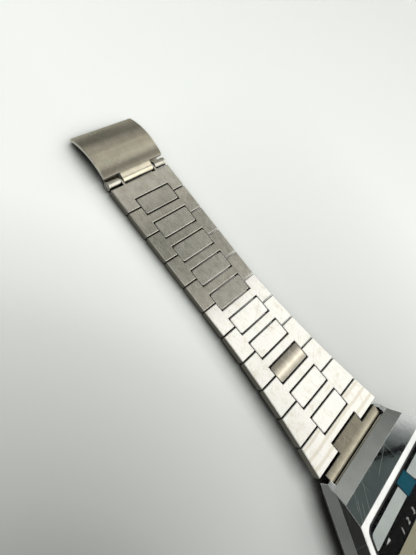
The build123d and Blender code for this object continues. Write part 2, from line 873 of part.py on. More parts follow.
# Battery holder under the board, with the battery, its clip and the quartz can
with BuildPart() as battery_holder:
    with BuildSketch(Plane.XY.offset(holder_bottom)):
        add(plan_of(cavity_outline, -module_clearance))
        with Locations((0, battery_centre_y)):
            Circle(battery_radius + battery_clearance, mode=Mode.SUBTRACT)
        with Locations((quartz_x, 0)):
            Rectangle(
                2 * (quartz_radius + quartz_clearance),
                quartz_length + 2 * quartz_clearance,
                mode=Mode.SUBTRACT,
            )
    extrude(amount=board_bottom - holder_bottom)
    add(pusher_notches.part, mode=Mode.SUBTRACT)
save(battery_holder, "battery_holder")

with BuildPart() as quartz_can:
    with BuildSketch(Plane.XZ.offset(-quartz_length / 2)):
        with Locations((quartz_x, board_bottom - quartz_radius)):
            Circle(quartz_radius)
    extrude(amount=quartz_length)
save(quartz_can, "quartz_can")

with BuildPart() as battery:
    with BuildSketch(Plane.XY.offset(battery_bottom)):
        with Locations((0, battery_centre_y)):
            Circle(battery_radius)
    extrude(amount=battery_height - battery_cell_height)
    with BuildSketch(Plane.XY.offset(battery_bottom + battery_height - battery_cell_height)):
        with Locations((0, battery_centre_y)):
            Circle(battery_radius - battery_rim)
    extrude(amount=battery_cell_height)
save(battery, "battery")

with BuildPart() as battery_clip:
    with BuildSketch(Plane.XY.offset(holder_bottom - clip_thickness)):
        with Locations((0, battery_centre_y)):
            Rectangle(2 * (battery_radius + battery_clearance + clip_overlap), clip_width)
    extrude(amount=clip_thickness)
save(battery_clip, "battery_clip")

# Sounder disc on the inside of the case back
with BuildPart() as buzzer:
    with BuildSketch(Plane.XY.offset(back_thickness)):
        Circle(buzzer_radius)
    extrude(amount=buzzer_thickness)
save(buzzer, "buzzer")

# Pushers with their stems and retaining clips, and the springs under their caps
cap_inner = case_half_width + pusher_proud - pusher_cap_length
stem_end = cavity_half_width - pusher_stem_reach
clip_inner = cavity_half_width - pusher_clip_gap - pusher_clip_thickness
spring_start = counterbore_floor + spring_end_gap + spring_wire_radius
spring_height = cap_inner - spring_end_gap - spring_wire_radius - spring_start
for name, (side, end) in pushers.items():
    with BuildPart() as pusher:
        with BuildSketch(pusher_plane(side, end, cap_inner)):
            Circle(pusher_cap_radius)
        extrude(amount=pusher_cap_length)
        outer_edge = pusher.edges().sort_by(Axis.X)[-1 if side > 0 else 0]
        chamfer(outer_edge, length=pusher_edge_break)
        with BuildSketch(pusher_plane(side, end, stem_end)):
            Circle(pusher_stem_radius)
        extrude(amount=cap_inner - stem_end)
        with BuildSketch(pusher_plane(side, end, clip_inner)):
            Circle(pusher_clip_radius)
        extrude(amount=pusher_clip_thickness)
    save(pusher, f"{name}_pusher")

    with BuildPart() as spring:
        coil_start = pusher_plane(side, end, spring_start)
        with BuildLine():
            coil = Helix(
                spring_height / spring_coils,
                spring_height,
                spring_radius,
                center=coil_start.origin,
                direction=coil_start.z_dir,
            )
        with BuildSketch(Plane(origin=coil @ 0, z_dir=coil % 0)):
            Circle(spring_wire_radius)
        sweep(path=coil, is_frenet=True)
    save(spring, f"{name}_spring")
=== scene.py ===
import math

import bpy
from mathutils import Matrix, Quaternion, Vector


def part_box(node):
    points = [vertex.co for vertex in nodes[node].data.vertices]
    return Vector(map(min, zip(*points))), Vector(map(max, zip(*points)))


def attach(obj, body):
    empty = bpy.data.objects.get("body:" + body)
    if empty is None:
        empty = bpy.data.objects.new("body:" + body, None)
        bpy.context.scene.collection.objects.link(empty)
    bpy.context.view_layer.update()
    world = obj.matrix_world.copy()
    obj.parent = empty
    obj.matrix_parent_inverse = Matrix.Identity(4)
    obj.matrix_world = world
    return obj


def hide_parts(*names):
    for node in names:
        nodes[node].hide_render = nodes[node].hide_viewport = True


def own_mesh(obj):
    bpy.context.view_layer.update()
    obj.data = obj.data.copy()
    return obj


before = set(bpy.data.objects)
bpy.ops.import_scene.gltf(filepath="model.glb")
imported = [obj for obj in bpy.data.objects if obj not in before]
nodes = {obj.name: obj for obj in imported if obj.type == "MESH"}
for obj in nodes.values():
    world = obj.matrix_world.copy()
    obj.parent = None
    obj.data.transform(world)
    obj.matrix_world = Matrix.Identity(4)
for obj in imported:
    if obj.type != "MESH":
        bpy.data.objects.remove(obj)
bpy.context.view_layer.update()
MM = 0.001

# Camera at the photograph's angle
CAMERA_PLACE = (-0.045592, 0.056439, 0.067899)
CAMERA_TURN = (0.908397, 0.114417, -0.262886, -0.304326)
LENS = 25.95
SENSOR_WIDTH = 36.0
CLIP_START = 0.001

camera_data = bpy.data.cameras.new("camera")
camera_data.lens = LENS
camera_data.sensor_width = SENSOR_WIDTH
camera_data.clip_start = CLIP_START
camera = bpy.data.objects.new("camera", camera_data)
camera.location = CAMERA_PLACE
camera.rotation_mode = "QUATERNION"
camera.rotation_quaternion = Quaternion(CAMERA_TURN)
bpy.context.scene.collection.objects.link(camera)
bpy.context.scene.camera = camera
bpy.context.scene.view_settings.view_transform = "Standard"


def colour(rgb):
    return (rgb[0], rgb[1], rgb[2], 1.0)


def grey(level):
    return (level, level, level)


# How far a bevelled normal leaves its face, and which way it leans, for worn edges with a painted
# highlight on the lit side and painted shade on the far side
BEVEL_SAMPLES = 6
EDGE_FROM, EDGE_FULL = 0.995, 0.92
LIT_FROM, LIT_FULL, LIT_LEAST = -0.05, -0.4, 0.2
FAR_FROM, FAR_FULL = 0.1, 0.4


# Small helpers for the nodes of one material
class Tree:
    def __init__(self, name):
        self.material = bpy.data.materials.new(name)
        self.material.use_nodes = True
        self.nodes = self.material.node_tree.nodes
        self.links = self.material.node_tree.links
        self.shader = self.nodes["Principled BSDF"]
        self.place = None

    def add(self, kind, **settings):
        node = self.nodes.new(kind)
        for key, value in settings.items():
            setattr(node, key, value)
        return node

    def put(self, value, socket):
        if isinstance(value, bpy.types.NodeSocket):
            self.links.new(value, socket)
        else:
            socket.default_value = value

    def coordinates(self, scale=(1, 1, 1), turn=(0, 0, 0)):
        if self.place is None:
            self.place = self.add("ShaderNodeTexCoord").outputs["Object"]
        mapping = self.add("ShaderNodeMapping")
        mapping.inputs["Scale"].default_value = scale
        mapping.inputs["Rotation"].default_value = turn
        self.links.new(self.place, mapping.inputs["Vector"])
        return mapping.outputs["Vector"]

    def noise(self, scale, detail=3.0, roughness=0.5):
        node = self.add("ShaderNodeTexNoise")
        node.inputs["Scale"].default_value = 1.0
        node.inputs["Detail"].default_value = detail
        node.inputs["Roughness"].default_value = roughness
        self.links.new(self.coordinates(scale), node.inputs["Vector"])
        return node.outputs["Fac"]

    def math(self, operation, first, second=0.0, third=0.0):
        node = self.add("ShaderNodeMath", operation=operation)
        for value, socket in zip((first, second, third), node.inputs):
            self.put(value, socket)
        return node.outputs["Value"]

    def spread(self, value, low, high, new_low=0.0, new_high=1.0):
        node = self.add("ShaderNodeMapRange")
        for data, name in (
            (value, "Value"),
            (low, "From Min"),
            (high, "From Max"),
            (new_low, "To Min"),
            (new_high, "To Max"),
        ):
            self.put(data, node.inputs[name])
        return node.outputs["Result"]

    def mix(self, share, first, second, blend="MIX"):
        node = self.add("ShaderNodeMix", data_type="RGBA", blend_type=blend)
        self.put(share, node.inputs[0])
        for value, socket in ((first, node.inputs[6]), (second, node.inputs[7])):
            self.put(colour(value) if isinstance(value, tuple) else value, socket)
        return node.outputs[2]

    def along(self, axis):
        if self.place is None:
            self.place = self.add("ShaderNodeTexCoord").outputs["Object"]
        node = self.add("ShaderNodeSeparateXYZ")
        self.links.new(self.place, node.inputs[0])
        return node.outputs[axis]

    def bump(self, height, distance, under=None):
        node = self.add("ShaderNodeBump")
        node.inputs["Strength"].default_value = 1.0
        node.inputs["Distance"].default_value = distance
        self.put(height, node.inputs["Height"])
        if under is not None:
            self.links.new(under, node.inputs["Normal"])
        return node.outputs["Normal"]

    def ramp(self, value, stops):
        node = self.add("ShaderNodeValToRGB")
        self.put(value, node.inputs["Fac"])
        elements = node.color_ramp.elements
        elements[0].position, tone = stops[0]
        elements[0].color = colour(tone)
        elements[1].position, tone = stops[-1]
        elements[1].color = colour(tone)
        for position, tone in stops[1:-1]:
            elements.new(position).color = colour(tone)
        return node.outputs["Color"]

    def steps(self, value, low, high, stops):
        share = self.spread(value, low, high)
        return self.ramp(share, [(position, grey(tone)) for position, tone in stops])

    # Bevelled normal, how worn the edges on the lit side are with their painted highlight, and how much
    # painted shade the edges on the far side get
    def worn_edge(self, radius):
        bevel = self.add("ShaderNodeBevel", samples=BEVEL_SAMPLES)
        bevel.inputs["Radius"].default_value = radius
        dot = self.add("ShaderNodeVectorMath", operation="DOT_PRODUCT")
        self.links.new(bevel.outputs["Normal"], dot.inputs[0])
        self.links.new(self.add("ShaderNodeNewGeometry").outputs["True Normal"], dot.inputs[1])
        split = self.add("ShaderNodeSeparateXYZ")
        self.links.new(bevel.outputs["Normal"], split.inputs[0])
        lean = self.math("ADD", split.outputs["X"], split.outputs["Y"])
        side = self.spread(lean, LIT_FROM, LIT_FULL, LIT_LEAST, 1.0)
        edge_strength = self.spread(dot.outputs["Value"], EDGE_FROM, EDGE_FULL)
        far = self.spread(lean, FAR_FROM, FAR_FULL)
        return bevel.outputs["Normal"], self.math("MULTIPLY", edge_strength, side), self.math("MULTIPLY", edge_strength, far)

    def finish(self, base, roughness, normal=None, **fixed):
        self.put(colour(base) if isinstance(base, tuple) else base, self.shader.inputs["Base Color"])
        self.put(roughness, self.shader.inputs["Roughness"])
        if normal is not None:
            self.links.new(normal, self.shader.inputs["Normal"])
        for name, value in fixed.items():
            self.shader.inputs[name.replace("_", " ")].default_value = value
        return self.material


SCRATCH_BEND = (130, 130, 130)
ROW_ROOM, ROW_MARGIN = 0.6, 0.2
ROW_OFFSET = 3.7
SOFT_END = 0.06


# Thin straight scratches: rows of short lines in one direction, each with its own start and end
def scratches(tree, turn, density, width, share, pitch=330.0, wander=0.0016):
    split = tree.add("ShaderNodeSeparateXYZ")
    tree.links.new(tree.coordinates((1, 1, 1), (0, 0, turn)), split.inputs[0])
    across = tree.math("MULTIPLY_ADD", split.outputs["Z"], math.cos(turn), split.outputs["X"])
    onward = tree.math("MULTIPLY_ADD", split.outputs["Z"], math.sin(turn), split.outputs["Y"])
    bend = tree.math("MULTIPLY_ADD", tree.noise(SCRATCH_BEND, detail=1.0), wander, across)
    row = tree.math("MULTIPLY", bend, density)
    number = tree.math("FLOOR", row)
    chance = tree.add("ShaderNodeTexWhiteNoise", noise_dimensions="1D")
    tree.links.new(number, chance.inputs["W"])
    middle = tree.math("MULTIPLY_ADD", chance.outputs["Value"], ROW_ROOM, ROW_MARGIN)
    away = tree.math("ABSOLUTE", tree.math("SUBTRACT", tree.math("FRACT", row), middle))
    line = tree.spread(away, width * density * 0.5, width * density, 1.0, 0.0)
    spot = tree.add("ShaderNodeCombineXYZ")
    tree.put(tree.math("MULTIPLY", number, ROW_OFFSET), spot.inputs["X"])
    tree.put(tree.math("MULTIPLY", onward, pitch), spot.inputs["Y"])
    length = tree.add("ShaderNodeTexNoise")
    length.inputs["Scale"].default_value = 1.0
    length.inputs["Detail"].default_value = 0.0
    tree.links.new(spot.outputs[0], length.inputs["Vector"])
    return tree.math("MULTIPLY", line, tree.spread(length.outputs["Fac"], share, share + SOFT_END))


EDGE_BREAK = 0.00018
BRUSH_GRAIN = (9000, 420, 9000)
BRUSH_MOTTLE = (620, 480, 620)
BRUSH_BROAD = (120, 90, 120)
GRAIN_DEPTH = 0.0000018
SCRATCH_DEPTH = 0.000003
BROAD_DEPTH = 0.00002
PAINTED_WAVE_SHARE = 0.6
PAINTED_WAVE_TONE = (0.58, 0.53, 0.42)
WORN_AND_LIT_EDGE_TONE = (0.96, 0.94, 0.88)
EDGE_SHADE_TONE = (0.03, 0.028, 0.024)
EDGE_SHADE_SHARE = 0.9
# How far a normal points up on tops and on walls, and how far sideways on side walls
TOP_FROM, TOP_FULL = 0.5, 0.9
WALL_FROM, WALL_FULL = 0.35, 0.2
SIDEWAYS_FROM, SIDEWAYS_FULL = 0.7, 0.8
# Side walls further from the middle than this are outer sides, and the others are in gaps
OUTSIDE_FROM, OUTSIDE_FULL = 0.0066, 0.0068


# Brushed steel. The grain lies along the bracelet, the outer sides are rougher and painted darker as
# shade, and the gap walls are painted near black as shade
def brushed_steel(
    name,
    light,
    dark,
    side,
    gap,
    rough,
    tilt=0.0,
    crown=None,
    wave=None,
    shade=None,
    patch=(0.34, 0.56),
    scuff=(0.36, (0.93, 0.91, 0.86)),
    edge_strength=1.0,
):
    tree = Tree(name)
    grain = tree.noise(BRUSH_GRAIN, detail=4.0, roughness=0.6)
    mottle = tree.noise(BRUSH_MOTTLE, detail=5.0, roughness=0.68)
    broad = tree.noise(BRUSH_BROAD, detail=2.0)
    lines = scratches(tree, turn=0.9, density=700, width=0.00003, share=0.57)
    more = scratches(tree, turn=-0.35, density=900, width=0.000024, share=0.58)
    marks = tree.math("MAXIMUM", lines, more)
    tone = tree.math("MULTIPLY_ADD", mottle, 0.75, tree.math("MULTIPLY", grain, 0.25))
    base = tree.mix(tree.spread(tone, patch[0], patch[1]), dark, light)
    # Painted bands of light and shade across the piece
    if wave is not None:
        drift = tree.math("MULTIPLY", broad, 3.0)
        turn = tree.math("MULTIPLY_ADD", tree.along("Y"), 2 * math.pi / wave, drift)
        crest = tree.spread(tree.math("SINE", turn), 0.1, 0.9)
        base = tree.mix(tree.math("MULTIPLY", crest, PAINTED_WAVE_SHARE), base, PAINTED_WAVE_TONE)
    # Painted light and shade along the piece
    if shade is not None:
        low, high, stops = shade
        base = tree.mix(1.0, base, tree.steps(tree.along("Y"), low, high, stops), "MULTIPLY")
    base = tree.mix(tree.math("MULTIPLY", marks, scuff[0]), base, scuff[1])
    edge, edge_mask, edge_shade_mask = tree.worn_edge(EDGE_BREAK)
    facing = tree.add("ShaderNodeSeparateXYZ")
    tree.links.new(tree.add("ShaderNodeNewGeometry").outputs["True Normal"], facing.inputs[0])
    wall = tree.spread(tree.math("ABSOLUTE", facing.outputs["Z"]), WALL_FROM, WALL_FULL)
    sideways = tree.spread(tree.math("ABSOLUTE", facing.outputs["X"]), SIDEWAYS_FROM, SIDEWAYS_FULL)
    outside = tree.spread(tree.math("ABSOLUTE", tree.along("X")), OUTSIDE_FROM, OUTSIDE_FULL)
    # Painted shade: outer side walls darker, walls in the gaps near black
    wall_shade = tree.mix(tree.math("MULTIPLY", sideways, outside), gap, side)
    base = tree.mix(wall, base, wall_shade)
    # Worn edges on the lit side, lighter: partly wear, partly a painted highlight
    on_top = tree.spread(facing.outputs["Z"], TOP_FROM, TOP_FULL, 0.0, edge_strength)
    edge_mask = tree.math("MULTIPLY", edge_mask, on_top)
    base = tree.mix(edge_mask, base, WORN_AND_LIT_EDGE_TONE)
    # Painted shade along the edges on the far side of the tops
    on_top = tree.spread(facing.outputs["Z"], TOP_FROM, TOP_FULL, 0.0, EDGE_SHADE_SHARE)
    base = tree.mix(tree.math("MULTIPLY", edge_shade_mask, on_top), base, EDGE_SHADE_TONE)
    roughness = tree.math("MULTIPLY_ADD", grain, 0.16, rough - 0.08)
    roughness = tree.math("MULTIPLY_ADD", edge_mask, 0.2, roughness)
    roughness = tree.math("MULTIPLY_ADD", broad, 0.1, tree.math("SUBTRACT", roughness, 0.05))
    roughness = tree.math("MULTIPLY_ADD", wall, 0.22, roughness)
    normal = tree.bump(grain, GRAIN_DEPTH, edge)
    normal = tree.bump(tree.math("MULTIPLY", marks, -1.0), SCRATCH_DEPTH, normal)
    normal = tree.bump(broad, BROAD_DEPTH, normal)
    if tilt:
        lean = tree.math("MULTIPLY", tree.along("Y"), -math.tan(math.radians(tilt)))
        normal = tree.bump(lean, 1.0, normal)
    if crown is not None:
        middle, rise = crown
        offset = tree.math("SUBTRACT", tree.along("Y"), middle)
        curve = tree.math("MULTIPLY", tree.math("MULTIPLY", offset, offset), -rise)
        normal = tree.bump(curve, 1.0, normal)
    tangent = tree.add("ShaderNodeTangent", direction_type="RADIAL", axis="Y")
    tree.links.new(tangent.outputs[0], tree.shader.inputs["Tangent"])
    return tree.finish(base, roughness, normal, Metallic=1.0, Anisotropic=0.7)


POLISHED_EDGE = 0.0002
POLISH_CLOUD = (180, 180, 180)
POLISH_FINE = (2600, 2600, 2600)
# Turn, density, width, share and pitch of each set of hairlines
HAIRLINES = (
    (0.62, 1500, 0.000012, 0.58, 150.0),
    (1.25, 1100, 0.000011, 0.60, 130.0),
    (-0.3, 900, 0.000012, 0.63, 170.0),
)
HAIRLINE_WANDER = 0.0005
HAIRLINE_DEPTH = 0.0000025
CLOUD_DEPTH = 0.000012
# Faces that look straight along the watch keep their own tone, without the painted light and shade
UPRIGHT_FROM, UPRIGHT_FULL = 0.9, 0.97


# Polished steel with hairline scratches, a slight waviness, and painted light and shade by how far a face
# looks up
def polished_steel(name, light, dark, rough, tones=None, edge_strength=0.5):
    tree = Tree(name)
    cloud = tree.noise(POLISH_CLOUD, detail=4.0, roughness=0.55)
    fine = tree.noise(POLISH_FINE, detail=3.0)
    lines, cross, third = [scratches(tree, *hairline, HAIRLINE_WANDER) for hairline in HAIRLINES]
    marks = tree.math("MAXIMUM", tree.math("MAXIMUM", lines, cross), third)
    base = tree.mix(tree.spread(cloud, 0.35, 0.65), dark, light)
    # Painted light and shade by how far a face points up
    if tones is not None:
        facing = tree.add("ShaderNodeSeparateXYZ")
        tree.links.new(tree.add("ShaderNodeNewGeometry").outputs["True Normal"], facing.inputs[0])
        upright = tree.math("ABSOLUTE", facing.outputs["Y"])
        share = tree.spread(upright, UPRIGHT_FROM, UPRIGHT_FULL, 1.0, 0.0)
        slope_shade = tree.ramp(tree.spread(facing.outputs["Z"], -1.0, 1.0), tones)
        base = tree.mix(share, base, slope_shade, "MULTIPLY")
    base = tree.mix(tree.math("MULTIPLY", marks, 0.3), base, (0.85, 0.87, 0.87))
    # Worn edges on the lit side, lighter: partly wear, partly a painted highlight
    edge, edge_mask, _ = tree.worn_edge(POLISHED_EDGE)
    edge_mask = tree.math("MINIMUM", tree.math("MULTIPLY", edge_mask, edge_strength), 1.0)
    base = tree.mix(edge_mask, base, (0.97, 0.97, 0.95))
    roughness = tree.math("MULTIPLY_ADD", marks, 0.12, rough)
    roughness = tree.math("MULTIPLY_ADD", edge_mask, 0.25, roughness)
    roughness = tree.math("MULTIPLY_ADD", tree.spread(fine, 0.45, 0.75), 0.05, roughness)
    normal = tree.bump(marks, HAIRLINE_DEPTH, edge)
    normal = tree.bump(cloud, CLOUD_DEPTH, normal)
    return tree.finish(base, roughness, normal, Metallic=1.0)


MOULDED_DEPTH = 0.000006
BROADER = 9


# Plain moulded, printed or rubbery surface with a fine grain
def moulded(name, light, dark, rough, grain=1800, **fixed):
    tree = Tree(name)
    speck = tree.noise((grain,) * 3, detail=4.0, roughness=0.6)
    broad = tree.noise((grain / BROADER,) * 3, detail=2.0)
    base = tree.mix(tree.spread(tree.math("ADD", speck, broad), 0.75, 1.25), dark, light)
    roughness = tree.math("MULTIPLY_ADD", speck, 0.16, rough - 0.08)
    return tree.finish(base, roughness, tree.bump(speck, MOULDED_DEPTH), **fixed)


# Steel of the bracelet: light and dark tone, and the painted shade of side walls and gap walls
SIDE_SHADE = (0.19, 0.18, 0.15)
GAP_SHADE = (0.008, 0.008, 0.007)
SPARSE = (0.33, 0.50)
DARK_SCUFF = (0.45, (0.42, 0.39, 0.33))
NEAR_LINK = ((0.80, 0.79, 0.745), (0.67, 0.635, 0.55), SIDE_SHADE, GAP_SHADE)
NEAR_CENTRE = ((0.81, 0.80, 0.76), (0.69, 0.655, 0.57), GAP_SHADE, GAP_SHADE)
FAR_TILT = 3.0
FAR_CENTRE_TILT = 3.5
TURN_TILT = -3.0
WAVE_PITCH = 0.0019


# The links near the case carry sparse dark patches and dull scuffs
def near_steel(name, tones, rough, **more):
    return brushed_steel(name, *tones, rough, patch=SPARSE, scuff=DARK_SCUFF, **more)


link_near = near_steel("link_near", NEAR_LINK, 0.26)
link_turn = near_steel("link_turn", NEAR_LINK, 0.24, tilt=TURN_TILT)
link_first = near_steel("link_first", NEAR_LINK, 0.24, wave=WAVE_PITCH)
link_far_shaded = brushed_steel(
    "link_far_shaded", (0.70, 0.665, 0.57), (0.475, 0.443, 0.365), SIDE_SHADE, GAP_SHADE, 0.27, tilt=FAR_TILT
)
link_last_shaded = brushed_steel(
    "link_last_shaded", (0.69, 0.66, 0.575), (0.50, 0.472, 0.40), SIDE_SHADE, GAP_SHADE, 0.27, tilt=FAR_TILT
)
centre_near = near_steel("centre_near", NEAR_CENTRE, 0.24)
centre_turn = near_steel("centre_turn", NEAR_CENTRE, 0.24, tilt=TURN_TILT)
centre_far_shaded = brushed_steel(
    "centre_far_shaded", (0.76, 0.725, 0.63), (0.535, 0.507, 0.43), GAP_SHADE, GAP_SHADE, 0.26, tilt=FAR_CENTRE_TILT
)
centre_last_shaded = brushed_steel(
    "centre_last_shaded", (0.56, 0.535, 0.47), (0.40, 0.38, 0.325), GAP_SHADE, GAP_SHADE, 0.26, tilt=FAR_CENTRE_TILT
)

# Clasp cover, painted light and shade along it: bright lip and barrel, a dark line, bright bands over the
# arch and the dull tip
COVER_FROM, COVER_TO = 0.0840, 0.0983
COVER_SHADE = [
    (0.000, 1.25),
    (0.203, 1.25),
    (0.238, 0.42),
    (0.287, 0.30),
    (0.322, 0.42),
    (0.378, 0.98),
    (0.416, 1.30),
    (0.441, 1.30),
    (0.510, 0.80),
    (0.543, 0.77),
    (0.587, 1.05),
    (0.671, 0.95),
    (0.783, 0.63),
    (0.839, 0.80),
    (1.000, 0.92),
]
cover_steel = brushed_steel(
    "cover_steel",
    (0.82, 0.755, 0.60),
    (0.70, 0.635, 0.485),
    (0.62, 0.6, 0.54),
    (0.42, 0.4, 0.34),
    0.3,
    shade=(COVER_FROM, COVER_TO, COVER_SHADE),
)
blade_steel = brushed_steel(
    "blade_steel", (0.80, 0.765, 0.67), (0.60, 0.57, 0.48), (0.36, 0.34, 0.30), GAP_SHADE, 0.3, edge_strength=0.25
)

# End pieces: a roll with a painted highlight on its ridge that fades to painted shade towards the links
END_MIDDLE = 0.0176
END_RISE = 40.0
END_FROM, END_TO = 0.0170, 0.0210


def end_piece_steel(name, side, stops):
    return brushed_steel(
        name,
        (0.49, 0.447, 0.345),
        (0.38, 0.344, 0.255),
        GAP_SHADE,
        GAP_SHADE,
        0.25,
        crown=(side * END_MIDDLE, END_RISE),
        shade=(side * END_FROM, side * END_TO, stops),
    )


end_steel = end_piece_steel(
    "end_steel", 1, [(0.0, 1.2), (0.14, 1.05), (0.3, 0.66), (0.47, 0.42), (1.0, 0.42)]
)
low_end_steel = end_piece_steel(
    "low_end_steel", -1, [(0.0, 1.15), (0.12, 1.0), (0.28, 0.6), (0.45, 0.36), (1.0, 0.34)]
)
back_steel = brushed_steel(
    "back_steel", (0.66, 0.665, 0.65), (0.54, 0.545, 0.535), (0.5, 0.5, 0.48), grey(0.4), 0.3
)

# Painted light and shade on the case by how far a face points up: undercut, upper and lower flank, facets,
# top
CASE_SLOPE_SHADE = [
    (0.0, grey(0.8)),
    (0.12, grey(0.04)),
    (0.40, grey(0.04)),
    (0.49, grey(0.06)),
    (0.53, grey(0.06)),
    (0.60, grey(0.36)),
    (0.68, grey(0.36)),
    (0.80, (0.93, 0.96, 0.91)),
    (0.89, (0.93, 0.96, 0.91)),
    (0.91, grey(1.0)),
    (0.96, grey(1.0)),
    (0.985, grey(1.14)),
]
# Strength of the case's worn edges with their painted highlight
CASE_EDGE_STRENGTH = 2.6
case_steel = polished_steel(
    "case_steel", (0.67, 0.68, 0.67), (0.58, 0.59, 0.585), 0.04, tones=CASE_SLOPE_SHADE, edge_strength=CASE_EDGE_STRENGTH
)
pin_steel = polished_steel("pin_steel", (0.62, 0.61, 0.58), (0.5, 0.49, 0.46), 0.14)
pusher_steel = polished_steel("pusher_steel", (0.66, 0.66, 0.65), (0.56, 0.56, 0.55), 0.12)
spring_steel = polished_steel("spring_steel", grey(0.6), grey(0.45), 0.2)
cell_steel = polished_steel("cell_steel", (0.66, 0.67, 0.66), (0.55, 0.56, 0.55), 0.22)
quartz_metal = polished_steel("quartz_metal", (0.7, 0.71, 0.72), (0.58, 0.59, 0.6), 0.16)
buzzer_brass = polished_steel("buzzer_brass", (0.78, 0.6, 0.3), (0.62, 0.45, 0.2), 0.25)

# Rubber, plastics and print
seal_rubber = moulded("seal_rubber", (0.022, 0.022, 0.023), (0.010, 0.010, 0.011), 0.55)
zebra_rubber = moulded("zebra_rubber", (0.75, 0.62, 0.5), (0.2, 0.12, 0.1), 0.6, 2600)
module_plastic = moulded("module_plastic", (0.30, 0.30, 0.29), (0.22, 0.22, 0.21), 0.5)
holder_plastic = moulded("holder_plastic", (0.045, 0.045, 0.048), (0.028, 0.028, 0.03), 0.5)
board_laminate = moulded("board_laminate", (0.05, 0.20, 0.09), (0.02, 0.11, 0.05), 0.4)
reflector_sheet = moulded("reflector_sheet", (0.80, 0.81, 0.78), (0.70, 0.71, 0.68), 0.35)
lamp_lens = moulded("lamp_lens", (0.85, 0.80, 0.62), (0.7, 0.63, 0.45), 0.2)
mask_print = moulded(
    "mask_print", (0.003, 0.003, 0.0035), (0.0015, 0.0015, 0.002), 0.5, 2400, Specular_IOR_Level=0.02
)
panel_print = moulded("panel_print", (0.56, 0.60, 0.58), (0.47, 0.51, 0.49), 0.36, 3600, Metallic=0.35)
teal_print = moulded(
    "teal_print", (0.001, 0.13, 0.20), (0.0007, 0.095, 0.15), 0.4, 2800, Specular_IOR_Level=0.05
)
white_print = moulded("white_print", (0.82, 0.83, 0.80), (0.70, 0.71, 0.69), 0.45, 3000)
line_print = moulded("line_print", (0.40, 0.42, 0.41), (0.28, 0.30, 0.29), 0.45, 3000)


# Mineral glass, with its gloss in the coat so that the dial stays where it is
def glass(name):
    tree = Tree(name)
    haze = tree.noise((900, 900, 900), detail=3.0)
    hair = scratches(tree, turn=0.7, density=900, width=0.000015, share=0.66)
    roughness = tree.math("MULTIPLY_ADD", hair, 0.06, tree.spread(haze, 0.5, 0.9, 0.0, 0.01))
    return tree.finish(
        (0.985, 0.995, 0.99),
        roughness,
        Transmission_Weight=1.0,
        IOR=1.01,
        Coat_Weight=0.06,
        Coat_Roughness=0.03,
    )


crystal_glass = glass("crystal_glass")


FILM_DEPTH = 0.000001


# Liquid crystal panel: pale olive film under a clear gloss
def liquid_crystal(name):
    tree = Tree(name)
    cloud = tree.noise((90, 90, 90), detail=2.0)
    speck = tree.noise((5200, 5200, 5200), detail=2.0)
    base = tree.mix(tree.spread(cloud, 0.35, 0.65), (0.36, 0.32, 0.175), (0.415, 0.37, 0.205))
    base = tree.mix(tree.spread(speck, 0.3, 0.7, 0.0, 0.12), base, (0.25, 0.23, 0.13))
    roughness = tree.spread(speck, 0.3, 0.7, 0.28, 0.36)
    return tree.finish(
        base, roughness, tree.bump(speck, FILM_DEPTH), Coat_Weight=0.6, Coat_Roughness=0.08
    )


lcd_film = liquid_crystal("lcd_film")
segment_ink = moulded("segment_ink", (0.030, 0.034, 0.032), (0.020, 0.023, 0.022), 0.4, 3400)


# Gives a CAD node its material
def dress(name, material):
    node = nodes[name]
    if node.material_slots:
        for slot in node.material_slots:
            slot.material = material
    else:
        node.data.materials.append(material)


# Finish of every CAD node. The far links tilt a little, so they lie in a darker reflection, and their
# steel is a darker copy with painted shade
UPPER_LINKS = 11
UPPER_CENTRES = 10
LOWER_LINKS = 4
FAR_FROM_LINK = 7
FAR_FROM_CENTRE = 6
for number in range(1, UPPER_LINKS + 1):
    dress(f"upper_link_{number:02d}", link_far_shaded if number >= FAR_FROM_LINK else link_near)
for number in range(1, UPPER_CENTRES + 1):
    dress(f"upper_centre_link_{number:02d}", centre_far_shaded if number >= FAR_FROM_CENTRE else centre_near)
for number in range(1, LOWER_LINKS + 1):
    dress(f"lower_link_{number:02d}", link_near)
    dress(f"lower_centre_link_{number:02d}", centre_near)

finishes = {
    "upper_link_01": link_first,
    "upper_link_05": link_turn,
    "upper_link_06": link_turn,
    "upper_link_11": link_last_shaded,
    "upper_centre_link_05": centre_turn,
    "upper_centre_link_10": centre_last_shaded,
    "ladder_end": link_near,
    "clasp_pin": pin_steel,
    "clasp_blade": blade_steel,
    "clasp_cover": cover_steel,
    "upper_end_piece": end_steel,
    "lower_end_piece": low_end_steel,
    "spring_bars": pin_steel,
    "case_body": case_steel,
    "case_back": back_steel,
    "back_gasket": seal_rubber,
    "back_screws": pin_steel,
    "crystal": crystal_glass,
    "crystal_gasket": seal_rubber,
    "dial_mask": mask_print,
    "lcd_panel": lcd_film,
    "reflector": reflector_sheet,
    "zebra_connectors": zebra_rubber,
    "circuit_board": board_laminate,
    "module_frame": module_plastic,
    "lamp": lamp_lens,
    "battery_holder": holder_plastic,
    "quartz_can": quartz_metal,
    "battery": cell_steel,
    "battery_clip": cell_steel,
    "buzzer": buzzer_brass,
    "light_pusher": pusher_steel,
    "mode_pusher": pusher_steel,
    "set_pusher": pusher_steel,
    "light_spring": spring_steel,
    "mode_spring": spring_steel,
    "set_spring": spring_steel,
}
for name, material in finishes.items():
    dress(name, material)

# Copies of the springs under the pusher caps, fixed to the case, take the place of the CAD spring nodes
for name, side in (("light", -1), ("mode", -1), ("set", 1)):
    coil = bpy.data.objects.new(f"{name}_coil", nodes[f"{name}_spring"].data.copy())
    bpy.context.scene.collection.objects.link(coil)
    low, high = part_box(f"{name}_spring")
    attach(coil, "case")
    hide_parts(f"{name}_spring")
    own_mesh(coil)

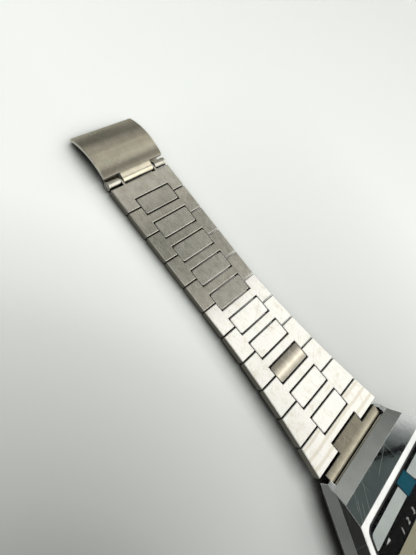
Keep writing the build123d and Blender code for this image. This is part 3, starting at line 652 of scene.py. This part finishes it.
# Centre link 3 has a crowned top, so it reflects a band of light across it; the band is also painted on,
# with painted shade on either side
CROWN_RISE = 18.0
CROWN_SHADE = [(0.0, 0.3), (0.22, 0.62), (0.38, 1.1), (0.55, 0.62), (0.75, 0.28), (1.0, 0.18)]
low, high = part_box("upper_centre_link_03")
crowned = brushed_steel(
    "centre_crowned",
    (0.86, 0.80, 0.665),
    (0.70, 0.64, 0.52),
    GAP_SHADE,
    GAP_SHADE,
    0.22,
    crown=((low.y + high.y) / 2, CROWN_RISE),
    shade=(low.y, high.y, CROWN_SHADE),
)
dress("upper_centre_link_03", crowned)


# A flat printed shape, from its outline in millimetres
def printed(name, outline, bottom, thickness, material):
    count = len(outline)
    points = [(x * MM, y * MM, bottom * MM) for x, y in outline]
    points += [(x * MM, y * MM, (bottom + thickness) * MM) for x, y in outline]
    faces = [list(reversed(range(count))), list(range(count, 2 * count))]
    for index in range(count):
        after = (index + 1) % count
        faces.append([index, after, after + count, index + count])
    mesh = bpy.data.meshes.new(name)
    mesh.from_pydata(points, [], faces)
    mesh.materials.append(material)
    shape = bpy.data.objects.new(name, mesh)
    bpy.context.scene.collection.objects.link(shape)
    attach(shape, "case")


def box_outline(low_x, low_y, high_x, high_y):
    return [(low_x, low_y), (high_x, low_y), (high_x, high_y), (low_x, high_y)]


ROUND_STEPS = 6


# Corner rounding for a convex outline that runs anticlockwise
def rounded(outline, radii):
    result = []
    count = len(outline)
    for index, corner in enumerate(outline):
        radius = radii[index]
        point = Vector(corner)
        if not radius:
            result.append(tuple(point))
            continue
        before = (Vector(outline[index - 1]) - point).normalized()
        after = (Vector(outline[(index + 1) % count]) - point).normalized()
        half = before.angle(after) / 2
        centre = point + (before + after).normalized() * radius / math.sin(half)
        start = point + before * radius / math.tan(half)
        end = point + after * radius / math.tan(half)
        first = (start - centre).normalized()
        last = (end - centre).normalized()
        for step in range(ROUND_STEPS + 1):
            share = step / ROUND_STEPS
            direction = (first * (1 - share) + last * share).normalized()
            result.append(tuple(centre + direction * radius))
    return result


# Dial print on the mask, in millimetres
MASK_TOP = 6.15
PRINT_GAP = 0.004
PRINT_THICKNESS = 0.012
LAYER_GAP = 0.003
print_level = MASK_TOP + PRINT_GAP
second_level = print_level + PRINT_THICKNESS + LAYER_GAP


def dial_print(name, outline, material, level=print_level):
    printed(name, outline, level, PRINT_THICKNESS, material)


# Half width of the case's top, which narrows towards its ends
SIDE_X = 15.7
END_X = 12.89
TAPER_FROM_Y = 5.33
TAPER_TO_Y = 11.8


def taper_x(y, inset):
    return SIDE_X - (y - TAPER_FROM_Y) / (TAPER_TO_Y - TAPER_FROM_Y) * (SIDE_X - END_X) - inset


PANEL_LOW = 5.55
PANEL_HIGH = 7.95
BADGE = [(0.1, 5.2), (3.75, 5.2), (3.1, 8.55), (-0.15, 8.55)]
BADGE_ROOM = 0.22
RIM = 3.55
SMALL_RADIUS = 0.15
LARGE_RADIUS = 1.0
PANEL_RADII = [SMALL_RADIUS, SMALL_RADIUS, LARGE_RADIUS, SMALL_RADIUS]
panel_left = [
    (BADGE[0][0] - BADGE_ROOM, PANEL_LOW),
    (BADGE[3][0] - BADGE_ROOM, PANEL_HIGH),
    (-taper_x(PANEL_HIGH, RIM), PANEL_HIGH),
    (-taper_x(PANEL_LOW, RIM), PANEL_LOW),
]
panel_right = [
    (BADGE[1][0] + BADGE_ROOM, PANEL_LOW),
    (taper_x(PANEL_LOW, RIM), PANEL_LOW),
    (taper_x(PANEL_HIGH, RIM), PANEL_HIGH),
    (BADGE[2][0] + BADGE_ROOM, PANEL_HIGH),
]
dial_print("dial_panel_left", rounded(panel_left, PANEL_RADII), panel_print)
dial_print("dial_panel_right", rounded(panel_right, PANEL_RADII), panel_print)
dial_print("dial_badge", BADGE, teal_print, second_level)

# Plain slanted numbers from one to seven in place of the day row
DAYS = 7
DAY_Y = 3.1
DAY_PITCH = 2.25
DAY_START = -5.6
DAY_SIZE = 1.5
DAY_SLANT = 0.3
DAY_CURVE_STEPS = 3


def numeral(name, text, x, y):
    curve = bpy.data.curves.new(name, "FONT")
    curve.body = text
    curve.size = DAY_SIZE * MM
    curve.shear = DAY_SLANT
    curve.align_x = "CENTER"
    curve.align_y = "CENTER"
    curve.extrude = PRINT_THICKNESS * MM / 2
    curve.resolution_u = DAY_CURVE_STEPS
    label = bpy.data.objects.new(name, curve)
    bpy.context.scene.collection.objects.link(label)
    bpy.context.view_layer.update()
    mesh = bpy.data.meshes.new_from_object(label)
    bpy.data.objects.remove(label)
    mesh.materials.clear()
    mesh.materials.append(white_print)
    shape = bpy.data.objects.new(name, mesh)
    shape.location = (x * MM, y * MM, (print_level + PRINT_THICKNESS / 2) * MM)
    bpy.context.scene.collection.objects.link(shape)
    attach(shape, "case")


for number in range(1, DAYS + 1):
    numeral(f"day_{number}", str(number), DAY_START + (number - 1) * DAY_PITCH, DAY_Y)

# Small plain marks beside the pushers, and a thin line under the window
MARK = [(-9.9, 4.75), (-8.7, 4.45), (-8.7, 5.05)]
MARK_DROP = 5.0
WINDOW_LINE = (-10.2, -8.30, 10.2, -8.22)
dial_print("mark_left", MARK, white_print)
dial_print("mark_right", [(-x, y) for x, y in reversed(MARK)], white_print)
dial_print("mark_low_left", [(x, -y - MARK_DROP) for x, y in reversed(MARK)], white_print)
dial_print("mark_low_right", [(-x, -y - MARK_DROP) for x, y in MARK], white_print)
dial_print("window_line_low", box_outline(*WINDOW_LINE), line_print)

# Seven-segment digits on the liquid crystal panel, in millimetres
LCD_TOP = 5.85
INK_THICKNESS = 0.01
SEGMENTS = {"0": "abcdef", "1": "bc", "3": "abgcd", "5": "afgcd", "6": "afgedc", "8": "abcdefg"}
SEGMENT_GAP = 0.12
LEAN = 0.12


def ink(name, outline):
    printed(name, outline, LCD_TOP + PRINT_GAP, INK_THICKNESS, segment_ink)


def segment_outline(letter, width, height, stroke):
    half = height / 2
    gap = stroke * SEGMENT_GAP
    cut = stroke / 2
    flat = {"a": height - cut, "g": half, "d": cut}
    if letter in flat:
        y = flat[letter]
        left = cut + gap
        right = width - cut - gap
        return [
            (left, y),
            (left + cut, y - cut),
            (right - cut, y - cut),
            (right, y),
            (right - cut, y + cut),
            (left + cut, y + cut),
        ]
    x = width - cut if letter in "bc" else cut
    bottom = half + gap if letter in "bf" else cut + gap
    top = height - cut - gap if letter in "bf" else half - gap
    return [
        (x, bottom),
        (x + cut, bottom + cut),
        (x + cut, top - cut),
        (x, top),
        (x - cut, top - cut),
        (x - cut, bottom + cut),
    ]


# Width, height, stroke and pitch of a digit
LARGE_DIGIT = (2.5, 5.2, 0.62, 3.5)
SMALL_DIGIT = (1.6, 3.2, 0.42, 2.2)
DIGIT_BOTTOM = -5.6


def digits(name, text, left, size):
    width, height, stroke, pitch = size
    for index, character in enumerate(text):
        start = left + index * pitch
        for letter in SEGMENTS[character]:
            outline = segment_outline(letter, width, height, stroke)
            outline = [(start + x + y * LEAN, DIGIT_BOTTOM + y) for x, y in outline]
            ink(f"{name}_{index}_{letter}", outline)


HOUR_LEFT = -8.6
MINUTE_LEFT = -0.9
SECOND_LEFT = 5.7
digits("hour", "10", HOUR_LEFT, LARGE_DIGIT)
digits("minute", "58", MINUTE_LEFT, LARGE_DIGIT)
digits("second", "36", SECOND_LEFT, SMALL_DIGIT)
COLON_LEFT, COLON_RIGHT, COLON_HEIGHT = -1.95, -1.4, 0.55
COLON_BOTTOMS = (-4.3, -2.2)
for index, y in enumerate(COLON_BOTTOMS):
    ink(f"colon_{index}", box_outline(COLON_LEFT + y * LEAN, y, COLON_RIGHT + y * LEAN, y + COLON_HEIGHT))

# Floor, pale, with the photograph's soft shade at the near left
FLOOR_GLOW = 0.44
FLOOR_DEPTH = 0.00002
SHADE_PLACE = (-0.060, 0.024)
SHADOW_REACH = 0.0045
SHADOW_SAMPLES = 8
SHADOW_TONES = [
    (0.42, (0.01, 0.01, 0.009)),
    (0.55, (0.16, 0.16, 0.155)),
    (0.73, (0.52, 0.52, 0.51)),
    (0.97, grey(1.0)),
]
# The contact shadow is full on the left of the bracelet and weak on its right
SHADOW_FROM_X, SHADOW_TO_X, SHADOW_RIGHT = -0.004, 0.006, 0.2
SHADE_STRETCH = 0.75
SHADE_FROM, SHADE_TO = 0.004, 0.064
SHADE_TONES = [
    (0.0, (0.58, 0.60, 0.57)),
    (0.22, (0.55, 0.57, 0.54)),
    (0.33, (0.66, 0.68, 0.65)),
    (0.43, (0.71, 0.73, 0.70)),
    (0.66, (0.79, 0.81, 0.78)),
    (0.78, (0.88, 0.90, 0.87)),
    (1.0, (0.93, 0.955, 0.925)),
]
# The floor's glow dims beside the bracelet, more so towards the case, as a painted soft shadow of the
# bracelet, and further out to the right
BESIDE_FROM_X, BESIDE_TO_X, BESIDE_SHARE = 0.018, 0.066, 0.7
UNDER_FROM_X, UNDER_TO_X = -0.004, 0.01
NEARER_FROM_Y, NEARER_TO_Y = 0.02, 0.1
OUTWARD_TO_X, OUTWARD_LEAST = 0.16, 0.43
LEAST_GLOW = 0.3

floor_tree = Tree("floor")
side_x = floor_tree.math("SUBTRACT", floor_tree.along("X"), SHADE_PLACE[0])
start_y = -SHADE_STRETCH * SHADE_PLACE[1]
side_y = floor_tree.math("MULTIPLY_ADD", floor_tree.along("Y"), SHADE_STRETCH, start_y)
square_x = floor_tree.math("MULTIPLY", side_x, side_x)
square_y = floor_tree.math("MULTIPLY", side_y, side_y)
reach = floor_tree.math("SQRT", floor_tree.math("ADD", square_x, square_y))
share = floor_tree.spread(reach, SHADE_FROM, SHADE_TO)
floor_tone = floor_tree.ramp(share, SHADE_TONES)
speck = floor_tree.noise((500, 500, 500), detail=4.0)
floor_base = floor_tree.mix(floor_tree.spread(speck, 0.3, 0.7, 0.0, 0.04), floor_tone, (0.7, 0.72, 0.7))
shelter = floor_tree.add("ShaderNodeAmbientOcclusion", samples=SHADOW_SAMPLES)
shelter.inputs["Distance"].default_value = SHADOW_REACH
shadowed = floor_tree.spread(floor_tree.along("X"), SHADOW_FROM_X, SHADOW_TO_X, 1.0, SHADOW_RIGHT)
contact = floor_tree.ramp(shelter.outputs["AO"], SHADOW_TONES)
floor_base = floor_tree.mix(shadowed, floor_base, contact, "MULTIPLY")
floor_material = floor_tree.finish(floor_base, 0.7, floor_tree.bump(speck, FLOOR_DEPTH))
path = floor_tree.add("ShaderNodeLightPath")
seen = floor_tree.math("MAXIMUM", path.outputs["Is Camera Ray"], path.outputs["Is Glossy Ray"])
seen = floor_tree.math("MAXIMUM", seen, path.outputs["Is Transmission Ray"])
glow = floor_tree.spread(share, 0.15, 1.0, 0.0, FLOOR_GLOW)
beside = floor_tree.spread(floor_tree.along("X"), BESIDE_FROM_X, BESIDE_TO_X, BESIDE_SHARE, 0.0)
under = floor_tree.spread(floor_tree.along("X"), UNDER_FROM_X, UNDER_TO_X)
nearer = floor_tree.spread(floor_tree.along("Y"), NEARER_FROM_Y, NEARER_TO_Y, 1.0, 0.0)
outward = floor_tree.spread(floor_tree.along("X"), 0.0, OUTWARD_TO_X, 1.0, OUTWARD_LEAST)
dimmed = floor_tree.math("MULTIPLY", floor_tree.math("MULTIPLY", beside, under), nearer)
fall = floor_tree.math("SUBTRACT", outward, dimmed)
glow = floor_tree.math("MULTIPLY", glow, floor_tree.math("MAXIMUM", fall, LEAST_GLOW))
floor_tree.put(floor_tree.math("MULTIPLY", seen, glow), floor_tree.shader.inputs["Emission Strength"])
floor_tree.put(floor_base, floor_tree.shader.inputs["Emission Color"])

FLOOR_HALF = 1.6
FLOOR_DROP = 0.00005
floor_mesh = bpy.data.meshes.new("floor")
floor_mesh.from_pydata(
    [
        (-FLOOR_HALF, -FLOOR_HALF, 0),
        (FLOOR_HALF, -FLOOR_HALF, 0),
        (FLOOR_HALF, FLOOR_HALF, 0),
        (-FLOOR_HALF, FLOOR_HALF, 0),
    ],
    [],
    [(0, 1, 2, 3)],
)
floor_mesh.materials.append(floor_material)
floor = bpy.data.objects.new("floor", floor_mesh)
floor.location.z = -FLOOR_DROP
bpy.context.scene.collection.objects.link(floor)


# Soft studio light: rectangles that steel can reflect
def soft_light(name, centre, size_x, size_y, turn, radiance, tint=(1, 1, 1)):
    lamp = bpy.data.lights.new(name, "AREA")
    lamp.shape = "RECTANGLE"
    lamp.size = size_x
    lamp.size_y = size_y
    lamp.energy = radiance * math.pi * size_x * size_y
    lamp.color = tint
    holder = bpy.data.objects.new(name, lamp)
    holder.location = centre
    holder.rotation_euler = turn
    holder.visible_camera = False
    bpy.context.scene.collection.objects.link(holder)


KEY_HEIGHT = 0.35
KEY_NEAR_Y = 0.063
KEY_FAR_Y = -0.54
KEY_LOW_X = 0.11
KEY_HIGH_X = 0.80
KEY_PLACE = ((KEY_LOW_X + KEY_HIGH_X) / 2, (KEY_NEAR_Y + KEY_FAR_Y) / 2, KEY_HEIGHT)
KEY_TINT = (1.0, 0.985, 0.95)
BAND_TINT = (1.0, 0.98, 0.93)
LEVEL = (0, 0, 0)
FACING_BACK = (math.radians(90), 0, 0)
LEAN_LEFT = (0, math.radians(-55), 0)
LEAN_RIGHT = (0, math.radians(75), 0)
soft_light("key", KEY_PLACE, KEY_HIGH_X - KEY_LOW_X, KEY_NEAR_Y - KEY_FAR_Y, LEVEL, 0.92, KEY_TINT)
soft_light("band", (0.26, 0.25, 0.30), 0.4, 0.08, LEVEL, 0.62, BAND_TINT)
soft_light("front_card", (0.3, -0.45, 0.12), 0.7, 0.24, FACING_BACK, 0.9)
soft_light("left_card", (-0.45, 0.02, 0.34), 0.22, 0.4, LEAN_LEFT, 0.8)
soft_light("right_light", (0.75, 0.05, 0.22), 0.35, 0.7, LEAN_RIGHT, 1.2)

LINE_WOBBLE = 0.012
LINE_CORE = 0.4


# Reflector card above the object with a graded tone, and a crossing dark line if wanted
def card(name, low, high, height, stops, line=None):
    tree = Tree(name)
    tone = tree.ramp(tree.spread(tree.along("X"), low[0], high[0]), stops)
    if line is not None:
        start, end, width = line
        along = (Vector(end) - Vector(start)).normalized()
        across = tree.math("MULTIPLY", tree.math("SUBTRACT", tree.along("X"), start[0]), along.y)
        down = tree.math("MULTIPLY", tree.math("SUBTRACT", tree.along("Y"), start[1]), -along.x)
        wobble = tree.math("MULTIPLY_ADD", tree.noise((90, 90, 90)), LINE_WOBBLE, -LINE_WOBBLE / 2)
        away = tree.math("ABSOLUTE", tree.math("ADD", tree.math("ADD", across, down), wobble))
        tone = tree.mix(tree.spread(away, width, width * LINE_CORE), tone, grey(0.0))
    tree.put(tone, tree.shader.inputs["Emission Color"])
    tree.shader.inputs["Emission Strength"].default_value = 1.0
    material = tree.finish(grey(0.0), 1.0, Specular_IOR_Level=0.0)
    mesh = bpy.data.meshes.new(name)
    corners = ((low[0], low[1]), (high[0], low[1]), (high[0], high[1]), (low[0], high[1]))
    mesh.from_pydata([(x, y, height) for x, y in corners], [], [(3, 2, 1, 0)])
    mesh.materials.append(material)
    shape = bpy.data.objects.new(name, mesh)
    shape.visible_camera = False
    shape.visible_shadow = False
    bpy.context.scene.collection.objects.link(shape)


CARD_HEIGHT = 0.30
FACET_CARD = ((0.13, 0.14), (0.32, 0.20))
FACET_LINE = ((0.206, 0.180), (0.228, 0.157), 0.007)
FACET_TONES = [
    (0.0, (0.104, 0.127, 0.123)),
    (0.50, (0.104, 0.127, 0.123)),
    (0.58, (0.26, 0.28, 0.275)),
    (0.72, (0.95, 0.95, 0.94)),
    (1.0, (1.1, 1.1, 1.09)),
]
HOOD_CARD = ((0.05, 0.33), (0.55, 0.60))
HOOD_TONES = [
    (0.0, (0.46, 0.46, 0.45)),
    (0.33, (0.46, 0.46, 0.45)),
    (0.52, (0.34, 0.34, 0.335)),
    (0.68, (0.2, 0.205, 0.2)),
]
card("facet_card", *FACET_CARD, CARD_HEIGHT, FACET_TONES, FACET_LINE)
card("hood_card", *HOOD_CARD, CARD_HEIGHT, HOOD_TONES)

# World: grey studio, darker near the horizon and far beyond the clasp
HORIZON_TONE = (0.22, 0.225, 0.22)
UPPER_TONE = (0.42, 0.425, 0.415)
UPPER_FROM = 0.7
BEYOND_TONE = (0.17, 0.175, 0.17)
BEYOND_FROM, BEYOND_FULL = 0.15, 0.42

world = bpy.data.worlds.new("studio")
bpy.context.scene.world = world
world.use_nodes = True
world_nodes = world.node_tree.nodes
world_links = world.node_tree.links
background = world_nodes["Background"]
direction = world_nodes.new("ShaderNodeTexCoord")
split = world_nodes.new("ShaderNodeSeparateXYZ")
world_links.new(direction.outputs["Generated"], split.inputs[0])


# Blend of two tones by how far a direction leans along one axis
def blend_along(axis, start, end, first, second):
    lean = world_nodes.new("ShaderNodeMapRange")
    lean.inputs["From Min"].default_value = start
    lean.inputs["From Max"].default_value = end
    world_links.new(split.outputs[axis], lean.inputs["Value"])
    blend = world_nodes.new("ShaderNodeMix")
    blend.data_type = "RGBA"
    world_links.new(lean.outputs["Result"], blend.inputs[0])
    if isinstance(first, tuple):
        blend.inputs[6].default_value = colour(first)
    else:
        world_links.new(first, blend.inputs[6])
    blend.inputs[7].default_value = colour(second)
    return blend.outputs[2]


sky = blend_along("Z", 0.0, UPPER_FROM, HORIZON_TONE, UPPER_TONE)
sky = blend_along("Y", BEYOND_FROM, BEYOND_FULL, sky, BEYOND_TONE)
world_links.new(sky, background.inputs["Color"])
background.inputs["Strength"].default_value = 1.0
